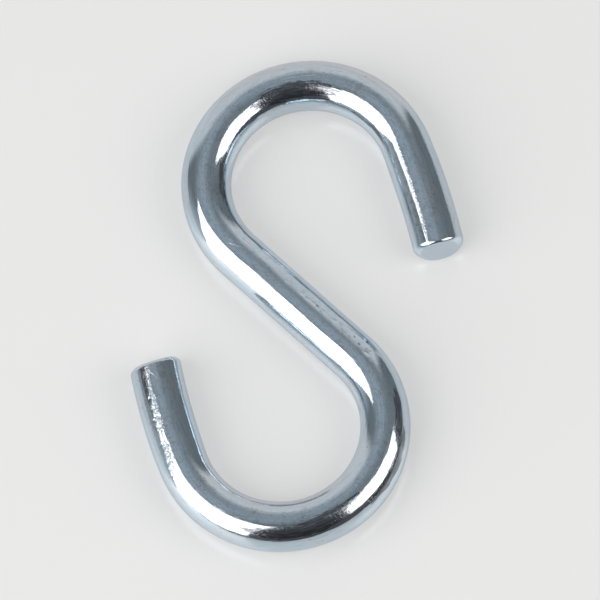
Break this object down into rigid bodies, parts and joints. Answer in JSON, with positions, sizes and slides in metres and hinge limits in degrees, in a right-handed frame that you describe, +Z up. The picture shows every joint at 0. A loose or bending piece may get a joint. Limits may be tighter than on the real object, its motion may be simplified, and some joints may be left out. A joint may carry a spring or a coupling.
{
  "type": "s hook",
  "caption": "S-shaped hook bent from one length of round steel wire, with an open loop at each end for hanging one thing from another, bright zinc plated.",
  "frame": {"origin": "middle of the shank, on the surface that the hook lies on", "axes": "+Y through the centres of the two loops, towards the upper loop; +X towards the upper loop's mouth; +Z up from the surface that the hook lies on"},
  "size_m": [0.0314, 0.0512, 0.005],
  "materials": {
    "zinc_plate": "bright zinc plated steel wire, slightly hazed, with tool marks"
  },
  "bodies": {
    "root": {"s_hook": "zinc_plate"}
  },
  "joints": []
}
